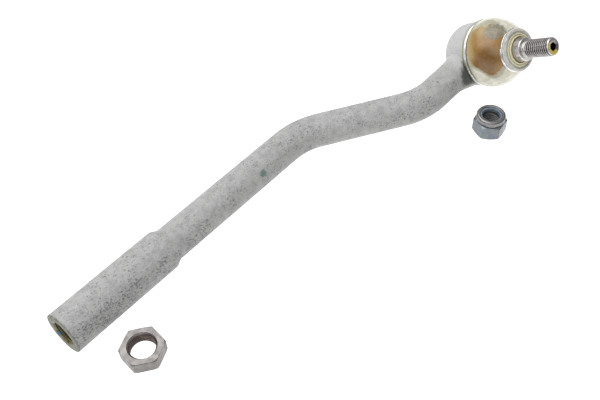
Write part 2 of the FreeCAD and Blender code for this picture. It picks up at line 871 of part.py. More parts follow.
def main():
    doc = FreeCAD.newDocument("TieRodEnd")
    fill_sheet(doc)
    make_forged_rod(doc)
    make_upper_ball_seat(doc)
    make_lower_ball_seat(doc)
    make_preload_spring(doc)
    make_cover_plate(doc)
    make_ball_stud(doc)
    make_dust_boot(doc)
    base_ring = [size(f"base_ring_{what}") for what in ("radius", "height", "wire")]
    make_wire_ring(doc, "boot_base_ring", *base_ring, turns=2)
    top_ring = [size(f"top_ring_{what}") for what in ("radius", "height", "wire")]
    make_wire_ring(doc, "boot_top_ring", *top_ring, turns=1)
    make_boot_collar(doc)
    make_jam_nut(doc)
    make_lock_nut(doc)
    make_lock_nut_insert(doc)
    doc.recompute()
    check(doc)
    write_parts(doc)


main()
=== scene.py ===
"""Looks of the tie rod end: a coated forging, a grease-filled boot, a stud and two loose nuts.

Lengths are millimetres until a mesh is made, and metres after that. The forging is drawn with x
along its sleeve from the mouth, the ball joint with z out along its stud, and a nut with z up.
"""

import json
import math

import bmesh
import bpy
import numpy as np
from mathutils import Matrix, Vector, noise


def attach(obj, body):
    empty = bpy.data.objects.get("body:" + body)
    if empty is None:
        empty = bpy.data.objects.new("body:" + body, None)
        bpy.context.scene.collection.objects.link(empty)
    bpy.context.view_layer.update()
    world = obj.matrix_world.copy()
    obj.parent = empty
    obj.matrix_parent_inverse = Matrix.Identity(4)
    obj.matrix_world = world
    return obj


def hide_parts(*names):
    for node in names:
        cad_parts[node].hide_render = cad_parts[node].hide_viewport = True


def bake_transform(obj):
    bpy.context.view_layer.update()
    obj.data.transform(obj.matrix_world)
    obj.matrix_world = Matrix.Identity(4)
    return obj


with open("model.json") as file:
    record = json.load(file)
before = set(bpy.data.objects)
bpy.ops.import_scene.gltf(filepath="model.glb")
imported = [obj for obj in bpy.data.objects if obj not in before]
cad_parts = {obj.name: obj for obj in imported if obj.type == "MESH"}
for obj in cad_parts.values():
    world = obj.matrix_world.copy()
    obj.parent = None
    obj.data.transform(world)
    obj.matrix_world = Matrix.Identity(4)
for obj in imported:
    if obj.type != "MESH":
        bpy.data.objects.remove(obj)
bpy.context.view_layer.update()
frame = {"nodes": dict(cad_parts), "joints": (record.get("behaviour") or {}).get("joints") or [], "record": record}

MM = 0.001
SEGMENTS = 120
BENCH = -12.7

# Threads: M16 x 1.5 in the sleeve and jam nut, M12 x 1.5 in the lock nut and on the stud.
PITCH = 1.5
M16_MINOR = 7.19
M16_MAJOR = 8.0
M12_MINOR = 5.19
M12_MAJOR = 6.0
STUD_MAJOR = 5.93
STUD_MINOR = 5.1

# Sleeve and rod, measured along the sleeve's axis.
SLEEVE_RADIUS = 12.7
SLEEVE_LENGTH = 72.4
SHOULDER_END = 75.8
SHOULDER_FADE = 77.2
BORE_END = 58.0
BORE_TIP = 4.3
BORE_STEP = 0.15
SLEEVE_THREAD = (0.25, 56.0)
ROD_RADIUS = 10.6
JOG_START = 177.2
JOG_ANGLE = math.radians(36.3)
JOG_OFFSET = 47.8
CLIMB = math.radians(7.8)
BEND_RADIUS = 41
BEND_STEPS = 20
FORGED_DEPTH = 0.1

# The rod's flare into the housing, and the fillet on the side away from the boot's top.
FLARE_START = 288
FLARE_END = 308
FLARE_ARC = 68
FILLET_START = 284
FILLET_END = 304
FILLET_SIZE = 2.7
FILLET_SIDE = Vector((0.05, -0.88, -0.47))

# Ball joint, measured from the ball's centre out along the stud.
BALL_RADIUS = 11.0
STUD_THREAD_FROM = 43.2
STUD_THREAD_TO = 61.0
SOCKET_HALF_WIDTH = 2.5
SOCKET_RADIUS = 3.0
DOME_CENTRE = (0, 11.9)
DOME_RADIUS = 22.7
DOME_INNER_RADIUS = 21.1

# Loose nuts.
JAM_TURN = math.radians(23.6)
JAM_FLATS = 22.0
JAM_HEIGHT = 8.0
LOCK_TURN = math.radians(5.4)
LOCK_FLATS = 19.0
LOCK_HEX_TOP = 9.8
CORNER_ROUNDING = 0.5
# This radius in a profile stands for the hexagon, whose own radius the nut's shape works out.
HEX_SIDE = 20
HEX_FROM = 15
THREAD_STEP = 0.12
CHAMFER_STEP = 0.11

# Marks on the forging: in its own frame, but the centre of the painted shadow with grime under the boot's edge in
# the ball joint's.
DAB_ANGLE = -0.78
GRIME_AND_SHADE = (-23.2, -3.5, 8.4)
GREEN_MARK = (147.7, -8.7, 6.1)
# The side of the rod that is darkened as painted shade, where more dark flakes also gather.
DUSTY_AND_SHADED_SIDE = (0.0, -0.99, 0.12)
# Directions on the boot, in the ball joint's frame, along which its grease lies.
BOOT_ACROSS = (0.574, -0.391, 0.719)
BOOT_ABOVE = (0.48, 0.876, 0.039)
BOOT_OUT = (-0.646, 0.323, 0.692)
PAINTED_SIDE = (-0.9, -0.42, 0.0)

# Camera and stage, in metres.
LENS = 50.57
SENSOR = 36
CAMERA_PLACE = (-0.090176, -0.254814, 0.379044)
CAMERA_LOOK = Vector((0.48039747, 0.4388684, -0.75935025))
CAMERA_RIGHT = Vector((0.65202725, -0.75776815, -0.02545368))
CAMERA_UP = Vector((0.58658225, 0.48288918, 0.65018406))
STAGE_MIDDLE = (0.17, -0.03, 0.0)
FLOOR_SIZE = 60
FLOOR_GAP = 0.0002
# Heights on the world's sphere, from 0 below to 1 above, and the brightness of the light there.
SKY = (
    (0.13, (1, 1, 1, 1)),
    (0.19, (0.1, 0.1, 0.105, 1)),
    (0.35, (0.2, 0.2, 0.205, 1)),
    (0.85, (0.75, 0.75, 0.76, 1)),
)


def joint(name):
    return next(j for j in frame["joints"] if j["name"] == name)


def mount(name):
    return next(m for m in frame["record"]["mounts"] if m["name"] == name)


def joint_frame():
    """The ball joint's frame in millimetres: origin at the ball's centre, z out along the stud."""
    along = Vector(joint("swing_direction")["axis"]).normalized()
    across = Vector(joint("swing_angle")["axis"]).normalized()
    matrix = Matrix((across, along.cross(across), along)).transposed().to_4x4()
    matrix.translation = Vector(joint("swing_direction")["pos_m"]) / MM
    return matrix


def nut_frame(name, turn):
    """A loose nut's frame in millimetres: origin on the bench, under the nut's centre."""
    place = Vector(mount(name)["pos_m"]) / MM
    return Matrix.Translation((place.x, place.y, BENCH)) @ Matrix.Rotation(turn, 4, "Z")


HEAD = joint_frame()


# ---------------------------------------------------------------- meshes


def finish_mesh(name, verts, faces, place, sharp=35.0):
    """An object from millimetre points in a local frame, which are also kept for the materials."""
    mesh = bpy.data.meshes.new(name)
    points = np.asarray(verts, float)
    matrix = np.array(place)
    world = (points @ matrix[:3, :3].T + matrix[:3, 3]) * MM
    mesh.from_pydata([tuple(p) for p in world], [], faces)
    bm = bmesh.new()
    bm.from_mesh(mesh)
    bmesh.ops.recalc_face_normals(bm, faces=bm.faces)
    bm.to_mesh(mesh)
    bm.free()
    keep_spots(mesh, points)
    smooth_by_angle(mesh, sharp)
    piece = bpy.data.objects.new(name, mesh)
    bpy.context.scene.collection.objects.link(piece)
    return piece


def keep_spots(mesh, points):
    """Stores each vertex's place in its own frame, in millimetres, for the materials."""
    attribute = mesh.attributes.get("spot") or mesh.attributes.new("spot", "FLOAT_VECTOR", "POINT")
    attribute.data.foreach_set("vector", np.asarray(points, np.float32).ravel())


def smooth_by_angle(mesh, degrees):
    mesh.shade_smooth()
    mesh.set_sharp_from_angle(angle=math.radians(degrees))


def even_angles():
    return [2 * math.pi * i / SEGMENTS for i in range(SEGMENTS)]


def bridge(low, high):
    """Faces between two neighbouring rings of vertices. A ring of one vertex is a tip."""
    count = max(len(low), len(high))
    faces = []
    for i in range(count):
        j = (i + 1) % count
        if len(low) == 1:
            faces.append((low[0], high[j], high[i]))
        elif len(high) == 1:
            faces.append((low[i], low[j], high[0]))
        else:
            faces.append((low[i], low[j], high[j], high[i]))
    return faces


def bridge_all(rings, closed=False):
    """Faces between each ring and the next, and from the last to the first when closed."""
    following = rings[1:] + rings[:1] if closed else rings[1:]
    return [face for low, high in zip(rings, following) for face in bridge(low, high)]


def lathe(name, profile, place, shape=None, angles=None, closed=True, sharp=35.0):
    """Turns a profile of (radius, height) points. shape(radius, height, angle) changes a radius.
    An open profile starts and ends on the axis."""
    angles = angles or even_angles()
    verts, rings = [], []
    for radius, height in profile:
        if radius < 1e-6:
            rings.append([len(verts)])
            verts.append((0, 0, height))
            continue
        rings.append(list(range(len(verts), len(verts) + len(angles))))
        for angle in angles:
            r = shape(radius, height, angle) if shape else radius
            verts.append((r * math.cos(angle), r * math.sin(angle), height))
    return finish_mesh(name, verts, bridge_all(rings, closed), place, sharp)


def soften(points, radius, steps=3, closed=False):
    """Rounds the corners of a profile. The ends of an open one stay."""
    points = [Vector(p) for p in points]
    count = len(points)
    out = []
    for i, corner in enumerate(points):
        if not closed and i in (0, count - 1):
            out.append(corner)
            continue
        before, after = points[i - 1], points[(i + 1) % count]
        cut = min(radius, 0.45 * (before - corner).length, 0.45 * (after - corner).length)
        start = corner + (before - corner).normalized() * cut
        end = corner + (after - corner).normalized() * cut
        for k in range(steps + 1):
            t = k / steps
            out.append(start * (1 - t) ** 2 + corner * 2 * t * (1 - t) + end * t**2)
    return [(p.x, p.y) for p in out]


def divide(start, end, step):
    """Points from start to end, both kept, no further apart than step."""
    start, end = Vector(start), Vector(end)
    count = max(1, math.ceil((end - start).length / step))
    return [tuple(start.lerp(end, i / count)) for i in range(count + 1)]


def arc(centre, radius, first, last, steps):
    """Points on a circle between two angles, in degrees."""
    out = []
    for i in range(steps + 1):
        a = math.radians(first + (last - first) * i / steps)
        out.append((centre[0] + radius * math.cos(a), centre[1] + radius * math.sin(a)))
    return out


def ease(low, high, value):
    """A smooth step from 0 at low to 1 at high."""
    t = min(1.0, max(0.0, (value - low) / (high - low)))
    return t * t * (3 - 2 * t)


def ridge(height, angle, flat=0.25, valley=0.125):
    """How deep a helical thread is cut at this place, from its flat (0) to its valley (1)."""
    turns = (height / PITCH - angle / (2 * math.pi)) % 1.0
    level = abs(2 * turns - 1)
    return min(1.0, max(0.0, (level - flat) / (1 - flat - valley)))


def inner_thread(minor, major, bottom, top):
    """A shape that cuts a thread outwards from a bore between two heights."""

    def shape(radius, height, angle):
        if abs(radius - minor) > 1.6 or not bottom <= height <= top:
            return radius
        run = ease(bottom - 0.1, bottom + PITCH, height) * ease(top + 0.1, top - PITCH, height)
        return max(radius, minor + (major - minor) * ridge(height, angle) * run)

    return shape


def join_solids(base, other, operation):
    """Applies one boolean on a mesh and removes the other object."""
    change = base.modifiers.new(operation, "BOOLEAN")
    change.operation = operation
    change.solver = "MANIFOLD"
    change.object = other
    bpy.context.view_layer.update()
    result = bpy.data.meshes.new_from_object(
        base.evaluated_get(bpy.context.evaluated_depsgraph_get())
    )
    base.modifiers.clear()
    base.data = result
    bpy.data.objects.remove(other)


def tube(name, path, radius, place, sides=14):
    """A round wire along a path, with domed ends."""
    centres = [Vector(p) for p in path]
    before = (centres[0] - centres[1]).normalized() * radius
    beyond = (centres[-1] - centres[-2]).normalized() * radius
    # How far out each ring of a dome stands and how wide it is, in wire radii.
    near, far = (0.6, 0.8), (0.95, 0.35)
    scales = [far[1], near[1]] + [1.0] * len(centres) + [near[1], far[1]]
    centres = (
        [centres[0] + before * far[0], centres[0] + before * near[0]]
        + centres
        + [centres[-1] + beyond * near[0], centres[-1] + beyond * far[0]]
    )
    last = len(centres) - 1
    verts, rings = [], []
    for i, centre in enumerate(centres):
        ahead = centres[min(i + 1, last)] - centres[max(i - 1, 0)]
        side = ahead.cross(Vector((0, 0, 1))).normalized()
        rise = side.cross(ahead).normalized()
        rings.append(list(range(len(verts), len(verts) + sides)))
        for k in range(sides):
            a = 2 * math.pi * k / sides
            verts.append(centre + (side * math.cos(a) + rise * math.sin(a)) * radius * scales[i])
    return finish_mesh(name, verts, bridge_all(rings) + [tuple(rings[0]), tuple(rings[-1])], place)


# ---------------------------------------------------------------- forging


def rod_line():
    """The rod's centre line as (x, y, heading), from the sleeve's shoulder to the housing."""
    drop = BEND_RADIUS * (1 - math.cos(JOG_ANGLE))
    reach = BEND_RADIUS * math.sin(JOG_ANGLE)
    run = (JOG_OFFSET - 2 * drop) / math.sin(JOG_ANGLE)
    line = [(x, 0.0, 0.0) for x, _ in divide((SHOULDER_END, 0), (JOG_START, 0), 2.0)[1:]]
    for i in range(1, BEND_STEPS + 1):
        a = JOG_ANGLE * i / BEND_STEPS
        line.append((JOG_START + BEND_RADIUS * math.sin(a), -BEND_RADIUS * (1 - math.cos(a)), a))
    start = Vector(line[-1][:2])
    heading = Vector((math.cos(JOG_ANGLE), -math.sin(JOG_ANGLE)))
    pieces = round(run / 1.5)
    for i in range(1, pieces + 1):
        spot = start + heading * run * i / pieces
        line.append((spot.x, spot.y, JOG_ANGLE))
    end = Vector(line[-1][:2]) + Vector((reach, -drop))
    for i in range(1, BEND_STEPS + 1):
        a = JOG_ANGLE * (1 - i / BEND_STEPS)
        x, y = end.x - BEND_RADIUS * math.sin(a), end.y + BEND_RADIUS * (1 - math.cos(a))
        line.append((x, y, a))
    line += [(x, -JOG_OFFSET, 0.0) for x, _ in divide((end.x, 0), (FLARE_END, 0), 1.5)[1:]]
    return line


def forged_radius(x):
    """The rod's radius along its length: a rounded shoulder behind the sleeve, and the flare."""
    if x < SHOULDER_END + 3:
        fade = ease(SLEEVE_LENGTH - 1.2, SHOULDER_FADE, x)
        return SLEEVE_RADIUS + (ROD_RADIUS - SLEEVE_RADIUS) * fade
    if x > FLARE_START:
        return ROD_RADIUS + FLARE_ARC - math.sqrt(FLARE_ARC**2 - (x - FLARE_START) ** 2)
    return ROD_RADIUS


def uneven(point, depth):
    """The soft unevenness of a forged face, as a small inward offset."""
    p = Vector(point)
    coarse = noise.noise(p * 0.09)
    fine = noise.noise(p * 0.35 + Vector((7, 3, 1)))
    return -depth * (0.5 + 0.35 * coarse + 0.25 * fine)


def fillet(x, out):
    """How far the fillet under the housing lifts the rod's face here."""
    return FILLET_SIZE * ease(FILLET_START, FILLET_END, x) * max(0.0, out.dot(FILLET_SIDE)) ** 2


def sleeve_rings():
    """(x, radius) of the sleeve's rings: up the bore from its blind end, the rim, and back."""
    bore = [(BORE_END + BORE_TIP, 0.0), (BORE_END, M16_MINOR)]
    bore += [(x, M16_MINOR) for x in np.arange(BORE_END - BORE_STEP, 1.3, -BORE_STEP)]
    bore += [(x, M16_MINOR + 1.3 - x) for x in (1.3, 1.0, 0.7, 0.4, 0.15)]
    rim = [
        (0.03, 8.6), (0.0, 8.75), (0.0, 10.2), (0.0, 12.2), (0.05, 12.35), (0.35, 12.65),
        (0.55, 12.7),
    ]
    outside = [(x, SLEEVE_RADIUS) for x in np.arange(1.6, SLEEVE_LENGTH - 2, 1.4)]
    outside += [(x, forged_radius(x)) for x in np.arange(SLEEVE_LENGTH - 1.6, 78.5, 0.45)]
    return bore, rim, outside


def make_shank():
    """The sleeve with its real thread, and the jogged rod, as one closed mesh."""
    thread = inner_thread(M16_MINOR, M16_MAJOR, *SLEEVE_THREAD)
    tilt = Matrix.Rotation(-CLIMB, 4, "X")
    side, rise = tilt @ Vector((0, 1, 0)), tilt @ Vector((0, 0, 1))
    verts, rings = [], []

    def ring(centre, across, radius, forged=0, threaded=False):
        if radius < 1e-6:
            rings.append([len(verts)])
            verts.append(centre)
            return
        rings.append(list(range(len(verts), len(verts) + SEGMENTS)))
        for a in even_angles():
            out = across * math.cos(a) + rise * math.sin(a)
            r = thread(radius, centre.x, a) if threaded else radius + fillet(centre.x, out)
            point = centre + out * r
            if forged:
                point = centre + out * (r + uneven(point, forged))
            verts.append(point)

    bore, rim, outside = sleeve_rings()
    for x, radius in bore:
        ring(Vector((x, 0, 0)), side, radius, threaded=True)
    for x, radius in rim:
        ring(Vector((x, 0, 0)), side, radius)
    for x, radius in outside:
        ring(Vector((x, 0, 0)), side, radius, FORGED_DEPTH * ease(1, 8, x))
    for x, y, heading in rod_line():
        if x > outside[-1][0] + 0.5:
            across = tilt @ Vector((math.sin(heading), math.cos(heading), 0))
            ring(tilt @ Vector((x, y, 0)), across, forged_radius(x), FORGED_DEPTH)
    ring(tilt @ Vector((FLARE_END, -JOG_OFFSET, 0)), side, 0)
    return finish_mesh("forging", verts, bridge_all(rings), Matrix.Identity(4))


def make_forging():
    """The one-piece forging: shank, cup, boot seat and the cavity behind the ball."""
    piece = make_shank()

    def forged(radius, height, angle):
        if radius <= 13:
            return radius
        place = HEAD @ Vector((radius * math.cos(angle), radius * math.sin(angle), height))
        return radius + uneven(place, FORGED_DEPTH)

    back = [(0, -17.6), (5, -17.6), (10, -17.6), (12.9, -17.6)]
    waist = arc((7.5, -5.5), 13.5, -63, -2, 16)
    shoulder = [(21.2, -2.0), (21.45, 2.0), (21.6, 4.3), (21.35, 4.8), (20.6, 5.6), (20.0, 6.1)]
    outline = back + soften([(13.6, -17.45)] + waist + shoulder, 0.5, 2)
    outline += [(20.0, 10.3), (0, 10.3)]
    cup = lathe("cup", outline, HEAD, shape=forged, closed=False)
    join_solids(piece, cup, "UNION")
    outline = [(19.4, 5.3), (24.0, 5.3), (24.2, 11.5), (17.5, 11.5), (18.8, 10.3), (19.4, 9.7)]
    boot_seat = lathe("seat_cutter", outline, HEAD)
    join_solids(piece, boot_seat, "DIFFERENCE")
    outline = [
        (0, -19), (12.4, -19), (12.4, -17.0), (12.7, -16.4), (14.15, -16.4), (14.15, -14.8),
        (13.5, -14.8), (13.5, 6.1), (10.7, 6.1), (14.2, 10.3), (14.3, 12), (0, 12),
    ]
    cavity = lathe("cavity_cutter", outline, HEAD, closed=False)
    join_solids(piece, cavity, "DIFFERENCE")
    mesh = piece.data
    places = np.zeros(len(mesh.vertices) * 3, np.float32)
    mesh.vertices.foreach_get("co", places)
    keep_spots(mesh, places / MM)
    smooth_by_angle(mesh, 32)
    return piece


# ---------------------------------------------------------------- ball joint


def make_stud():
    """The stud: ball, neck, shank, taper, relief and a rolled thread, with a hexagon socket."""
    ball = [(0, -10.2), (2.1, -10.2)] + arc((0, 0), BALL_RADIUS, -68, 58.2, 40)
    neck_to_relief = [
        (5.8, 9.5), (5.8, 13), (8.2, 20), (8.2, 31), (7.52, 40.2), (7.3, 40.85), (5.15, 40.95),
        (5.05, 42.4), (5.2, 42.8),
    ]
    threaded = divide((STUD_MAJOR, STUD_THREAD_FROM), (STUD_MAJOR, STUD_THREAD_TO), 0.15)
    tip = [(5.55, 61.45), (5.12, 61.86), (4.9, 61.9), (4.3, 61.9), (3.75, 61.9), (3.3, 61.75)]
    socket = [
        (3.05, 61.5), (SOCKET_RADIUS, 60.8), (SOCKET_RADIUS, 59.6), (SOCKET_RADIUS, 58.4),
        (2.98, 57.1), (2.4, 56.8), (1.2, 56.3), (0, 56.0),
    ]

    def shape(radius, height, angle):
        if radius > 4.95 and 42.5 < height < 61.5:
            run = ease(42.9, 44.6, height) * ease(62.4, 60.4, height)
            cut = (STUD_MAJOR - STUD_MINOR) * ridge(height, angle, 0.125, 0.2) * run
            return min(radius, STUD_MAJOR - cut)
        if radius < 3.1 and 56.7 < height < 61.6:
            sector = angle % (math.pi / 3) - math.pi / 6
            return SOCKET_HALF_WIDTH * (radius / SOCKET_RADIUS) / math.cos(sector)
        return radius

    profile = ball + soften(neck_to_relief, 0.4) + threaded + tip + socket
    return lathe("turned_stud", profile, HEAD, shape=shape, closed=False, sharp=28)


def make_boot():
    """The domed boot with its base bead and wire groove, a closed wall open at both ends."""
    bead = [
        (19.6, 5.45), (21.8, 5.4), (22.3, 5.9), (22.3, 6.7), (21.8, 7.1), (21.2, 7.2), (21.2, 9.1),
    ]
    neck = [(13.1, 30.45), (13.0, 31.0), (13.0, 32.25), (11.05, 32.3), (11.05, 29.2)]
    outline = soften(bead, 0.3) + arc(DOME_CENTRE, DOME_RADIUS, -6, 54.5, 30)[1:]
    outline += soften(neck, 0.3) + arc(DOME_CENTRE, DOME_INNER_RADIUS, 53.6, -3.8, 30)
    outline += [(20.6, 10.4), (19.6, 10.3)]
    return lathe("grease_boot", outline, HEAD, sharp=50)


def make_collar():
    """The stiff collar: a flange with a rolled edge, and two lips around the shank."""
    outline = [
        (8.28, 28.85), (10.4, 28.8), (10.85, 29.4), (10.85, 32.45), (13.5, 32.45), (13.8, 33.0),
        (13.8, 34.4), (13.3, 34.95), (12.1, 34.95), (11.8, 34.3), (10.9, 34.3), (10.6, 34.95),
        (9.9, 34.95), (9.65, 34.4), (9.3, 34.6), (9.15, 35.6), (8.7, 35.8), (8.28, 35.5),
    ]
    return lathe("sealing_collar", soften(outline, 0.35, closed=True), HEAD, sharp=50)


def wound_ring(name, radius, height, wire, start, turns, cross):
    """A spring-wire ring whose turns lie side by side, and which crosses over half way along."""
    half = wire / 2
    path = []
    steps = round(90 * turns)
    for i in range(steps + 1):
        turn = turns * i / steps
        lift = ease(0.5 * turns - cross, 0.5 * turns + cross, turn)
        angle = start + 2 * math.pi * turn
        z = height + half * (2 * lift - 1)
        path.append((radius * math.cos(angle), radius * math.sin(angle), z))
    return tube(name, path, half * 0.98, HEAD)


# ---------------------------------------------------------------- nuts


def hexagon(flats):
    """A hexagon with rounded corners: a function from angle to radius, and angles that suit it."""
    rounding = CORNER_ROUNDING
    half = flats / 2
    middle = (half - rounding) / math.cos(math.pi / 6)
    edge = math.atan2(rounding * 0.5, middle + rounding * math.cos(math.pi / 6))

    def radius(angle):
        from_corner = (angle + math.pi / 6) % (math.pi / 3) - math.pi / 6
        if abs(from_corner) < edge:
            reach = rounding**2 - (middle * math.sin(from_corner)) ** 2
            return middle * math.cos(from_corner) + math.sqrt(reach)
        return half / math.cos(math.pi / 6 - abs(from_corner))

    angles = []
    for side in range(6):
        corner = side * math.pi / 3
        for share in (-1, -0.5, 0, 0.5, 1):
            angles.append((corner + edge * share) % (2 * math.pi))
        for step in range(1, 20):
            angles.append(corner + edge + (math.pi / 3 - 2 * edge) * step / 20)
    return radius, sorted(angles)


def hex_side(start, end):
    return [(HEX_SIDE, z) for _, z in divide((0, start), (0, end), CHAMFER_STEP)]


def make_jam_nut():
    """The thin nut, chamfered at both faces, with a real thread."""
    height = JAM_HEIGHT
    hex_radius, angles = hexagon(JAM_FLATS)
    cut = inner_thread(M16_MINOR, M16_MAJOR, 0.25, height - 0.25)
    outline = [(8.3, 0.0), (8.0, 0.3)]
    outline += divide((M16_MINOR, 0.9), (M16_MINOR, height - 0.9), THREAD_STEP)
    outline += [(8.0, height - 0.3), (8.3, height), (9.6, height), (10.8, height)]
    outline += hex_side(height - 0.02, height - 1.6) + hex_side(1.6, 0.02)
    outline += [(10.8, 0.0), (9.6, 0.0)]

    def shape(radius, z, angle):
        if radius < 9:
            return cut(radius, z, angle)
        if radius < HEX_FROM:
            return radius
        return min(hex_radius(angle), 11.75 + min(z, height - z) * 1.5)

    place = nut_frame("jam_nut_thread", JAM_TURN)
    return lathe("thin_jam_nut", outline, place, shape, angles, sharp=24)


def make_lock_nut():
    """The self-locking nut's steel: hexagon, groove under the collar, rolled lip, real thread."""
    hex_radius, angles = hexagon(LOCK_FLATS)
    cut = inner_thread(M12_MINOR, M12_MAJOR, 0.4, 10.0)
    bore = [(6.09, 0.0), (5.9, 0.2)] + divide((M12_MINOR, 0.9), (M12_MINOR, 10.15), THREAD_STEP)
    pocket = [
        (5.4, 10.2), (7.3, 10.2), (7.3, 11.6), (7.3, 13.3), (6.95, 13.4), (6.85, 13.5), (6.9, 13.7),
    ]
    lip = [(7.1, 13.88), (7.5, 14.0)] + arc((7.95, 12.6), 1.4, 90, 0, 10)
    collar = [
        (9.35, 11.6), (9.35, 10.9), (9.25, 10.55), (8.95, 10.35), (8.85, 10.15), (8.95, 9.95),
        (9.3, 9.82),
    ]
    wall = hex_side(LOCK_HEX_TOP, LOCK_HEX_TOP - 1.6) + hex_side(1.5, 0.02)
    wall += [(9.1, 0.0), (8.0, 0.0), (6.9, 0.0)]

    def shape(radius, z, angle):
        if radius < 6.2:
            return cut(radius, z, angle)
        if radius < HEX_FROM:
            return radius
        return min(hex_radius(angle), 9.45 + min((LOCK_HEX_TOP - z) * 1.75, z * 1.75 + 0.05))

    place = nut_frame("lock_nut_thread", LOCK_TURN)
    outline = bore + pocket + lip + collar + wall
    return lathe("steel_lock_nut", outline, place, shape, angles, sharp=24)


def make_insert():
    """The lock nut's nylon ring."""
    outline = [
        (5.65, 10.5), (6.2, 10.25), (7.25, 10.25), (7.25, 13.25), (6.1, 13.25), (5.65, 12.8),
    ]
    place = nut_frame("lock_nut_thread", LOCK_TURN)
    return lathe("nylon_ring", soften(outline, 0.3, closed=True), place, sharp=60)


# ---------------------------------------------------------------- materials


class Paint:
    """A node material under construction. Sockets and plain values can both be passed around."""

    def __init__(self, name, **shader):
        self.material = bpy.data.materials.new(name)
        self.material.use_nodes = True
        self.tree = self.material.node_tree
        self.shader = self.tree.nodes["Principled BSDF"]
        self.set(**shader)

    def add(self, kind, inputs, **settings):
        node = self.tree.nodes.new(kind)
        for name, value in settings.items():
            setattr(node, name, value)
        for name, value in inputs.items():
            self.feed(node.inputs[name], value)
        return node

    def feed(self, socket, value):
        if isinstance(value, bpy.types.NodeSocket):
            self.tree.links.new(value, socket)
        else:
            socket.default_value = value

    def set(self, **sockets):
        for name, value in sockets.items():
            self.feed(self.shader.inputs[name.replace("_", " ")], value)

    def base_colour(self):
        """The socket that feeds the base colour so far."""
        return self.shader.inputs["Base Color"].links[0].from_socket

    def spots(self):
        """Places in the piece's own frame in millimetres, as kept by keep_spots."""
        return self.add("ShaderNodeAttribute", {}, attribute_name="spot").outputs["Vector"]

    def places(self):
        """Object coordinates in millimetres, for CAD nodes."""
        where = self.add("ShaderNodeTexCoord", {}).outputs["Object"]
        return self.vector("SCALE", {0: where, "Scale": 1 / MM}).outputs[0]

    def facing(self):
        return self.add("ShaderNodeNewGeometry", {}).outputs["Normal"]

    def vector(self, operation, inputs):
        return self.add("ShaderNodeVectorMath", inputs, operation=operation)

    def along(self, vector, direction):
        """How far a vector reaches in a direction."""
        return self.vector("DOT_PRODUCT", {0: vector, 1: direction}).outputs["Value"]

    def distance(self, vector, point):
        return self.vector("DISTANCE", {0: vector, 1: tuple(point)}).outputs["Value"]

    def stretch(self, vector, scale):
        return self.vector("MULTIPLY", {0: vector, 1: scale}).outputs[0]

    def split(self, vector):
        return self.add("ShaderNodeSeparateXYZ", {0: vector}).outputs

    def noise(self, vector, scale, detail=4.0, roughness=0.55):
        inputs = {"Vector": vector, "Scale": scale, "Detail": detail, "Roughness": roughness}
        return self.add("ShaderNodeTexNoise", inputs).outputs[0]

    def ragged(self, vector, width, *grain):
        """Noise around zero that makes the edge of a mark uneven."""
        return self.times(self.math("SUBTRACT", self.noise(vector, *grain), 0.5), width)

    def math(self, operation, a, b=0.0):
        return self.add("ShaderNodeMath", {0: a, 1: b}, operation=operation).outputs[0]

    def times(self, first, *others):
        for other in others:
            first = self.math("MULTIPLY", first, other)
        return first

    def radius(self, x, y):
        """The distance from an axis."""
        squares = self.math("ADD", self.math("POWER", x, 2.0), self.math("POWER", y, 2.0))
        return self.math("SQRT", squares)

    def between(self, value, low, high, to_low=0.0, to_high=1.0):
        """A smooth step of value from low to high."""
        ends = {"From Min": low, "From Max": high, "To Min": to_low, "To Max": to_high}
        inputs = {"Value": value, **ends}
        node = self.add("ShaderNodeMapRange", inputs, interpolation_type="SMOOTHSTEP")
        return node.outputs[0]

    def ramp(self, value, *stops):
        node = self.add("ShaderNodeValToRGB", {0: value})
        band = node.color_ramp
        while len(band.elements) < len(stops):
            band.elements.new(0.5)
        for element, (place, colour) in zip(band.elements, stops):
            element.position = place
            element.color = (*colour, 1)
        return node.outputs[0]

    def mix(self, share, a, b):
        node = self.add("ShaderNodeMix", {}, data_type="RGBA")
        self.feed(node.inputs[0], share)
        for index, value in ((6, a), (7, b)):
            self.feed(node.inputs[index], (*value, 1) if isinstance(value, tuple) else value)
        return node.outputs[2]

    def cover(self, under, colour, share, strength=1.0):
        """Lays a colour over another where share is 1, as strongly as asked."""
        return self.mix(share if strength == 1.0 else self.times(share, strength), under, colour)

    def bump(self, height, strength, distance):
        """Adds one bump, in millimetres, on top of the bumps before it."""
        inputs = {"Height": height, "Strength": strength, "Distance": distance * MM}
        node = self.add("ShaderNodeBump", inputs)
        before = self.shader.inputs["Normal"]
        if before.is_linked:
            self.feed(node.inputs["Normal"], before.links[0].from_socket)
        self.feed(before, node.outputs[0])


